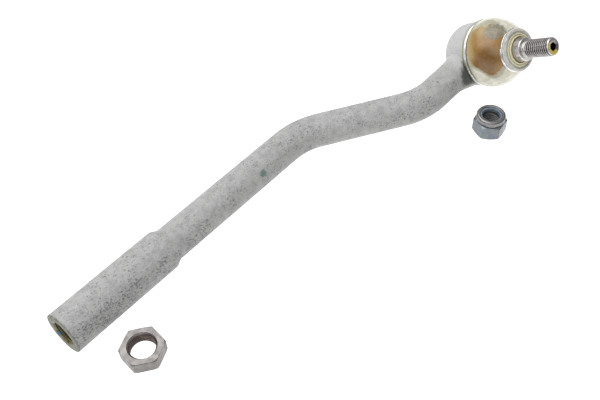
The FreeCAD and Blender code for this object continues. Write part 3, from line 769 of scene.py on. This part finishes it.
def forging_paint():
    """Pale zinc-grey coating over a forged skin: satin, with crowds of small dark flakes."""
    p = Paint("forging_coating", Metallic=0.0, Specular_IOR_Level=0.35)
    at = p.spots()
    x, y, z = p.split(at)
    radius = p.radius(y, z)
    blotches = p.noise(at, 0.22, 6.0, 0.65)
    grain = p.noise(at, 1.3, 5.0, 0.7)
    colour = p.ramp(
        blotches,
        (0.36, (0.33, 0.33, 0.325)), (0.5, (0.39, 0.387, 0.383)), (0.62, (0.43, 0.427, 0.423)),
    )
    colour = p.cover(colour, (0.22, 0.225, 0.22), p.between(grain, 0.55, 0.38, 0.0, 0.45))
    from_ball = p.distance(at, HEAD.translation)
    cup = p.between(from_ball, 34.0, 25.0)
    colour = p.cover(colour, (0.49, 0.49, 0.485), cup, 0.6)
    # Dark flakes gather in patches, and more of them on the side turned away from the key light; that side is also
    # darkened a little as painted shade.
    side = p.between(p.along(p.facing(), DUSTY_AND_SHADED_SIDE), 0.55, 0.95)
    flank = p.times(side, p.between(from_ball, 24.0, 40.0))
    on_flank = p.times(flank, p.between(x, 80.0, 110.0, 0.7, 0.25))
    crowd = p.between(p.noise(at, 0.07, 4.0, 0.6), 0.34, 0.62)
    crowd = p.math("ADD", crowd, p.math("SUBTRACT", on_flank, cup))
    colour = p.cover(colour, (0.21, 0.215, 0.205), flank, 0.22)
    flakes = p.noise(p.stretch(at, (0.75, 1.1, 1.1)), 0.95, 7.0, 0.7)
    over = p.math("SUBTRACT", flakes, p.math("SUBTRACT", 0.62, p.times(crowd, 0.07)))
    flakes = p.times(p.between(over, 0.0, 0.05), p.between(grain, 0.3, 0.6, 0.45, 0.95))
    big = p.between(p.noise(at, 0.42, 4.0, 0.6), 0.645, 0.68)
    dark = p.math("MAXIMUM", flakes, p.times(big, p.between(cup, 0.0, 1.0, 0.6, 0.2)))
    colour = p.cover(colour, (0.1, 0.105, 0.1), dark)
    # Oil from the thread yellows the bore, which is also painted dark as painted shade of the recess.
    in_bore = p.times(p.between(radius, 8.75, 8.35), p.between(x, 68.0, 66.0))
    oil_and_shade = p.ramp(p.noise(at, 0.5, 3.0), (0.35, (0.05, 0.045, 0.015)), (0.65, (0.24, 0.21, 0.1)))
    colour = p.cover(colour, oil_and_shade, in_bore)
    # The rim of the mouth is machined bare.
    rim = p.times(p.between(x, 0.95, 0.5), p.between(radius, 8.3, 8.8))
    bare = p.ramp(p.noise(at, 0.4, 4.0), (0.35, (0.12, 0.12, 0.1)), (0.65, (0.23, 0.23, 0.2)))
    colour = p.cover(colour, bare, rim)
    # A dab of blue marking paint at the edge of the bore.
    from_dab = p.math("ABSOLUTE", p.math("SUBTRACT", p.math("ARCTAN2", z, y), DAB_ANGLE))
    dab = p.times(p.between(x, 1.9, 1.4), p.between(radius, 9.3, 9.0))
    colour = p.cover(colour, (0.05, 0.13, 0.21), p.times(dab, p.between(from_dab, 0.16, 0.1)))
    # Painted shadow in the gap under the boot's edge, with oily grime in it.
    from_grime_and_shade = p.math("ADD", p.distance(at, HEAD @ Vector(GRIME_AND_SHADE)), p.ragged(at, 4.0, 0.5))
    colour = p.cover(colour, (0.035, 0.04, 0.03), p.between(from_grime_and_shade, 9.8, 5.4), 0.92)
    # A small fleck of green corrosion half way along the rod.
    ragged = p.ragged(at, 6.0, 1.1, 4.0, 0.6)
    from_mark = p.math("ADD", p.distance(at, GREEN_MARK), ragged)
    colour = p.cover(colour, (0.06, 0.14, 0.11), p.between(from_mark, 2.7, 1.8), 0.75)
    rough = p.between(blotches, 0.3, 0.7, 0.7, 0.58)
    p.set(Base_Color=colour, Roughness=p.times(rough, p.between(in_bore, 0.0, 1.0, 1.0, 0.5)))
    p.bump(blotches, 0.5, 0.25)
    p.bump(grain, 0.6, 0.1)
    p.bump(p.math("SUBTRACT", 1.0, dark), 0.6, 0.1)
    return p.material


def steel_paint(name, tint, rough, turned, dark):
    """Bare steel with faint stains, and with fine rings from the lathe when turned."""
    p = Paint(name, Metallic=1.0)
    at = p.spots()
    if turned:
        x, y, z = p.split(at)
        turn = p.times(p.math("ARCTAN2", y, x), 0.7)
        inputs = {0: p.times(p.radius(x, y), 0.6), 1: turn, 2: z}
        around = p.add("ShaderNodeCombineXYZ", inputs).outputs[0]
        rings = p.noise(p.stretch(around, (9.0, 0.4, 9.0)), 0.9, 3.0, 0.7)
    else:
        rings = p.noise(at, 2.4, 4.0, 0.6)
    stains = p.noise(at, 0.28, 5.0, 0.6)
    low = tuple(c * (1 - dark) for c in tint)
    colour = p.ramp(stains, (0.32, low), (0.6, tint))
    colour = p.cover(colour, low, p.between(rings, 0.3, 0.7, 0.0, 0.35))
    p.set(Base_Color=colour, Roughness=p.between(stains, 0.3, 0.7, rough * 1.35, rough * 0.8))
    p.bump(rings, 0.35, 0.05)
    return p


def stud_paint():
    """The stud's steel, with painted shade in its socket and thread roots, and yellow paint on its tip."""
    p = steel_paint("stud_steel", (0.68, 0.655, 0.64), 0.3, turned=True, dark=0.35)
    at = p.spots()
    x, y, z = p.split(at)
    radius = p.radius(x, y)
    end = p.between(z, 60.9, 61.3)
    face = p.times(end, p.between(radius, 5.1, 4.8))
    colour = p.cover(p.base_colour(), (0.12, 0.115, 0.11), face, 0.7)
    # Painted shade deep in the hexagon socket.
    shaded_socket = p.times(
        p.between(z, 61.2, 60.2), p.between(radius, 3.4, 3.1), p.between(z, 55.0, 55.8)
    )
    colour = p.cover(colour, (0.03, 0.028, 0.024), shaded_socket)
    toward = p.math("ADD", p.along(at, PAINTED_SIDE), p.ragged(at, 5.0, 0.7))
    paint = p.times(end, p.between(toward, -0.6, 0.6), p.between(radius, 4.9, 4.6))
    colour = p.cover(colour, (0.5, 0.38, 0.04), paint, 0.9)
    # Painted shade in the roots of the thread.
    shaded_root = p.times(
        p.between(radius, 5.9, 5.45), p.between(z, 42.0, 43.6), p.between(z, 61.4, 60.8)
    )
    colour = p.cover(colour, (0.045, 0.042, 0.04), shaded_root, 0.92)
    p.set(Base_Color=colour, Metallic=p.math("SUBTRACT", 1.0, p.times(paint, 0.9)))
    return p.material


def jam_nut_paint():
    """Warm grey steel, brownish in the thread, with painted shade in its grooves and at the chamfers that don't
    face up.
    """
    p = steel_paint("jam_nut_steel", (0.25, 0.237, 0.227), 0.42, turned=False, dark=0.12)
    x, y, z = p.split(p.spots())
    radius = p.radius(x, y)
    from_middle = p.math("ABSOLUTE", p.math("SUBTRACT", z, JAM_HEIGHT / 2))
    thread = p.times(p.between(radius, 8.6, 8.3), p.between(from_middle, 3.5, 3.1))
    colour = p.cover(p.base_colour(), (0.125, 0.09, 0.083), thread, 0.9)
    # Painted shade in the thread's grooves.
    shaded_grooves = p.times(thread, p.between(radius, 7.3, 7.7))
    colour = p.cover(colour, (0.02, 0.018, 0.017), shaded_grooves, 0.95)
    # Painted shade at the chamfers and face edges that don't face up.
    level = p.split(p.facing())[2]
    rim = p.times(
        p.between(radius, 10.6, 10.9), p.between(from_middle, 3.2, 3.6), p.between(level, 0.8, 0.6)
    )
    p.set(Base_Color=p.cover(colour, (0.05, 0.045, 0.042), rim, 0.85))
    return p.material


def lock_nut_paint():
    """Zinc plating, bluish with faint pink, green and violet tints, and a warmer collar."""
    p = steel_paint("lock_nut_zinc", (0.22, 0.228, 0.24), 0.3, turned=False, dark=0.3)
    at = p.spots()
    x, y, z = p.split(at)
    radius = p.radius(x, y)
    tints = p.ramp(
        p.noise(p.stretch(at, (1.0, 1.0, 0.5)), 0.42, 3.0),
        (0.36, (0.15, 0.21, 0.18)), (0.45, (0.12, 0.17, 0.24)), (0.5, (0.19, 0.155, 0.2)),
        (0.55, (0.14, 0.19, 0.22)), (0.64, (0.23, 0.23, 0.17)),
    )
    colour = p.cover(p.base_colour(), tints, p.between(z, 10.4, 9.4, 0.1, 0.55))
    colour = p.cover(colour, (0.25, 0.23, 0.225), p.between(z, 10.2, 10.8), 0.5)
    # Painted shade in the threaded bore.
    colour = p.cover(colour, (0.08, 0.075, 0.07), p.between(radius, 6.3, 5.9), 0.75)
    # Painted shade in the groove under the collar.
    groove = p.times(
        p.between(radius, 9.05, 8.8), p.between(z, 9.7, 9.9), p.between(z, 10.8, 10.5),
        p.between(radius, 7.5, 8.3),
    )
    p.set(Base_Color=p.cover(colour, (0.05, 0.05, 0.055), groove))
    return p.material


def boot_paint():
    """Glossy translucent polyurethane, amber where grease fills it and cream where it is clear."""
    p = Paint(
        "boot_polyurethane",
        Subsurface_Weight=0.15, Subsurface_Scale=0.002, Subsurface_Radius=(1.0, 0.8, 0.5),
        Coat_Weight=0.25, Coat_Roughness=0.15,
    )
    at = p.spots()
    height = p.split(at)[2]
    across = p.along(at, BOOT_ACROSS)
    above = p.along(at, BOOT_ABOVE)
    drift = p.ragged(at, 0.5, 0.13, 5.0, 0.6)

    def pool(centre_across, centre_above, half_across, half_above):
        """Zero at the middle of an oval and one at its edge, which is made uneven."""
        a = p.math("DIVIDE", p.math("SUBTRACT", across, centre_across), half_across)
        b = p.math("DIVIDE", p.math("SUBTRACT", above, centre_above), half_above)
        return p.math("ADD", p.radius(a, b), drift)

    slope = p.math("ADD", p.times(across, 0.67), p.times(above, 0.74))
    body = p.math("ADD", pool(4.0, 1.0, 15.5, 17.6), p.between(slope, -3.5, -10.0, 0.0, 0.4))
    deep = p.between(pool(5.0, -4.5, 10.5, 12.0), 1.1, 0.3)
    amber = p.mix(deep, (0.28, 0.155, 0.04), (0.15, 0.073, 0.014))
    streaks = p.noise(p.stretch(at, (1.0, 1.0, 0.45)), 0.4, 4.0, 0.6)
    amber = p.cover(amber, (0.25, 0.125, 0.03), p.between(streaks, 0.38, 0.62, 0.0, 0.3))
    # Thinner grease near the base and the top looks tan.
    tan = p.math("MAXIMUM", p.between(across, -2.0, -6.5), p.between(above, 9.0, 15.5))
    amber = p.cover(amber, (0.36, 0.27, 0.11), tan, 0.8)
    clear = p.ramp(
        p.noise(at, 0.16, 3.0), (0.35, (0.56, 0.535, 0.42)), (0.65, (0.73, 0.705, 0.6))
    )
    folds = p.noise(p.stretch(at, (1.0, 1.0, 0.3)), 0.2, 3.0)
    clear = p.cover(clear, (0.37, 0.37, 0.31), p.between(folds, 0.5, 0.66, 0.0, 0.3))
    colour = p.mix(p.between(body, 1.05, 0.88), clear, amber)
    # A thin grey-green line where the grease ends.
    line = p.times(p.between(body, 1.16, 1.04), p.between(body, 0.92, 1.02))
    colour = p.cover(colour, (0.2, 0.21, 0.14), line, 0.55)
    # The wall is thick and olive next to its base bead.
    colour = p.cover(colour, (0.33, 0.29, 0.13), p.between(height, 12.6, 10.0, 0.0, 0.6))
    colour = p.cover(colour, (0.24, 0.225, 0.13), p.between(height, 9.2, 8.4))
    # A smear of air and grey dust on the upper side.
    smear = p.math("ADD", pool(9.0, 13.2, 7.0, 4.8), p.ragged(at, 1.1, 0.45, 5.0, 0.65))
    outward = p.between(p.along(at, BOOT_OUT), 8.0, 12.0)
    smear = p.times(p.between(smear, 1.15, 0.75), outward)
    grit = p.ramp(
        p.noise(at, 0.9, 4.0, 0.65), (0.38, (0.1, 0.095, 0.07)), (0.55, (0.22, 0.21, 0.165))
    )
    colour = p.cover(colour, grit, smear, 0.8)
    p.set(Base_Color=colour, Roughness=p.between(p.noise(at, 0.3, 3.0), 0.3, 0.7, 0.22, 0.34))
    p.bump(p.noise(at, 0.12, 2.0), 0.25, 0.4)
    p.bump(p.noise(at, 1.1, 3.0), 0.12, 0.04)
    return p.material


def collar_paint():
    """Milky translucent plastic, yellowish at the lips."""
    p = Paint(
        "collar_plastic",
        Subsurface_Weight=0.3, Subsurface_Scale=0.003, Coat_Weight=0.5, Coat_Roughness=0.08,
    )
    at = p.spots()
    x, y, z = p.split(at)
    milky = p.ramp(p.noise(at, 0.35, 3.0), (0.35, (0.4, 0.42, 0.38)), (0.65, (0.58, 0.59, 0.55)))
    colour = p.cover(milky, (0.62, 0.58, 0.38), p.between(p.radius(x, y), 11.4, 10.2))
    # Painted shade in a band at the height of the collar's valleys.
    valley = p.times(p.between(z, 34.85, 34.4), p.between(z, 33.9, 34.2))
    colour = p.cover(colour, (0.25, 0.25, 0.18), valley, 0.55)
    p.set(Base_Color=colour, Roughness=p.between(p.noise(at, 0.8, 3.0), 0.3, 0.7, 0.2, 0.34))
    p.bump(p.noise(at, 0.9, 3.0), 0.15, 0.06)
    return p.material


def plain_paint(name, low, high, rough, metallic, grain, own_spots=True):
    """A quiet material with cloudy colour, a fine grain and uneven gloss."""
    p = Paint(name, Metallic=metallic)
    at = p.spots() if own_spots else p.places()
    clouds = p.noise(at, 0.3, 4.0, 0.6)
    fine = p.noise(at, grain, 4.0, 0.6)
    colour = p.ramp(clouds, (0.33, low), (0.66, high))
    p.set(Base_Color=colour, Roughness=p.between(fine, 0.3, 0.7, rough * 1.25, rough * 0.8))
    p.bump(fine, 0.3, 0.05)
    return p.material


# ---------------------------------------------------------------- assembly


def show(piece, paint, slot, body, *nodes):
    """Paints a piece, hides the CAD nodes it stands for, and puts it on its body. A blended piece has no one body.
    """
    piece.data.materials.clear()
    piece.data.materials.append(paint)
    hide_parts(*nodes)
    if body:
        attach(piece, body)


def repaint(node, paint):
    """Gives a CAD node that stays in view its material."""
    mesh = frame["nodes"][node].data
    mesh.materials.clear()
    mesh.materials.append(paint)


def build():
    show(make_forging(), forging_paint(), "forging", "rod", "forged_rod")
    show(make_stud(), stud_paint(), "stud_steel", "stud", "ball_stud")
    boot = make_boot()
    show(boot, boot_paint(), "boot_polyurethane", None, "dust_boot")
    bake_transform(boot)
    wire = plain_paint("ring_wire", (0.6, 0.6, 0.61), (0.86, 0.86, 0.88), 0.2, 1.0, 3.0)
    base_ring = wound_ring("base_wire", 22.05, 8.1, 0.95, start=0.9, turns=1.93, cross=0.13)
    show(base_ring, wire, "ring_wire", "boot", "boot_base_ring")
    top_ring = wound_ring("top_wire", 13.5, 31.5, 0.85, start=2.6, turns=1.6, cross=0.12)
    show(top_ring, wire, "ring_wire", "collar", "boot_top_ring")
    show(make_collar(), collar_paint(), "collar_plastic", "collar", "boot_collar")
    show(make_jam_nut(), jam_nut_paint(), "jam_nut_steel", "jam_nut_body", "jam_nut")
    show(make_lock_nut(), lock_nut_paint(), "lock_nut_steel", "lock_nut_body", "lock_nut")
    nylon = plain_paint("blue_grey_nylon", (0.11, 0.145, 0.18), (0.17, 0.21, 0.26), 0.4, 0.0, 1.5)
    show(make_insert(), nylon, "nylon", "lock_nut_body", "lock_nut_insert")
    low, high = (0.62, 0.6, 0.54), (0.74, 0.72, 0.66)
    seat = plain_paint("seat_plastic", low, high, 0.4, 0.0, 1.5, own_spots=False)
    repaint("upper_ball_seat", seat)
    repaint("lower_ball_seat", seat)
    low, high = (0.22, 0.22, 0.23), (0.32, 0.32, 0.33)
    strip = plain_paint("spring_strip", low, high, 0.35, 1.0, 2.0, own_spots=False)
    repaint("preload_spring", strip)
    low, high = (0.5, 0.5, 0.48), (0.66, 0.66, 0.64)
    plated = plain_paint("plated_cover", low, high, 0.38, 0.9, 1.6, own_spots=False)
    repaint("cover_plate", plated)


def add_area(name, place, size, watts):
    light = bpy.data.lights.new(name, "AREA")
    light.shape = "RECTANGLE"
    light.size, light.size_y = size
    light.energy = watts
    lamp = bpy.data.objects.new(name, light)
    lamp.location = place
    lamp.rotation_mode = "QUATERNION"
    toward = Vector(STAGE_MIDDLE) - Vector(place)
    lamp.rotation_quaternion = toward.to_track_quat("-Z", "Y")
    bpy.context.scene.collection.objects.link(lamp)


def add_floor():
    """A bench so bright that the part seems to lie on white paper."""
    place = (STAGE_MIDDLE[0], 0.0, BENCH * MM - FLOOR_GAP)
    bpy.ops.mesh.primitive_plane_add(size=FLOOR_SIZE, location=place)
    floor = bpy.context.object
    floor.name = "floor"
    p = Paint("pale_floor", Roughness=0.9, Emission_Strength=1.1)
    p.set(Base_Color=(0.3, 0.3, 0.3, 1), Emission_Color=(1, 1, 1, 1))
    floor.data.materials.append(p.material)


def add_world():
    """A light room that is dark in its middle heights, so that the steel gets its contrast."""
    world = bpy.data.worlds.new("studio")
    bpy.context.scene.world = world
    world.use_nodes = True
    tree = world.node_tree
    where = tree.nodes.new("ShaderNodeTexCoord").outputs["Generated"]
    parts = tree.nodes.new("ShaderNodeSeparateXYZ")
    tree.links.new(where, parts.inputs[0])
    band = tree.nodes.new("ShaderNodeValToRGB")
    tree.links.new(parts.outputs[2], band.inputs[0])
    stops = band.color_ramp.elements
    while len(stops) < len(SKY):
        stops.new(0.5)
    for stop, (place, colour) in zip(stops, SKY):
        stop.position, stop.color = place, colour
    background = tree.nodes["Background"]
    tree.links.new(band.outputs[0], background.inputs[0])
    background.inputs[1].default_value = 1.0


def add_camera():
    camera = bpy.data.cameras.new("camera")
    camera.sensor_width = SENSOR
    camera.lens = LENS
    camera.clip_start, camera.clip_end = 0.01, 50
    seen = bpy.data.objects.new("camera", camera)
    bpy.context.scene.collection.objects.link(seen)
    matrix = Matrix((CAMERA_RIGHT, CAMERA_UP, -CAMERA_LOOK)).transposed().to_4x4()
    matrix.translation = CAMERA_PLACE
    seen.matrix_world = matrix
    bpy.context.scene.camera = seen


def set_stage():
    add_floor()
    add_world()
    add_area("key", (0.05, 0.5, 1.1), (1.8, 1.4), 16)
    add_area("front", (-0.5, -0.6, 0.9), (0.9, 0.6), 2)
    add_camera()
    bpy.context.scene.view_settings.view_transform = "Standard"


build()
set_stage()
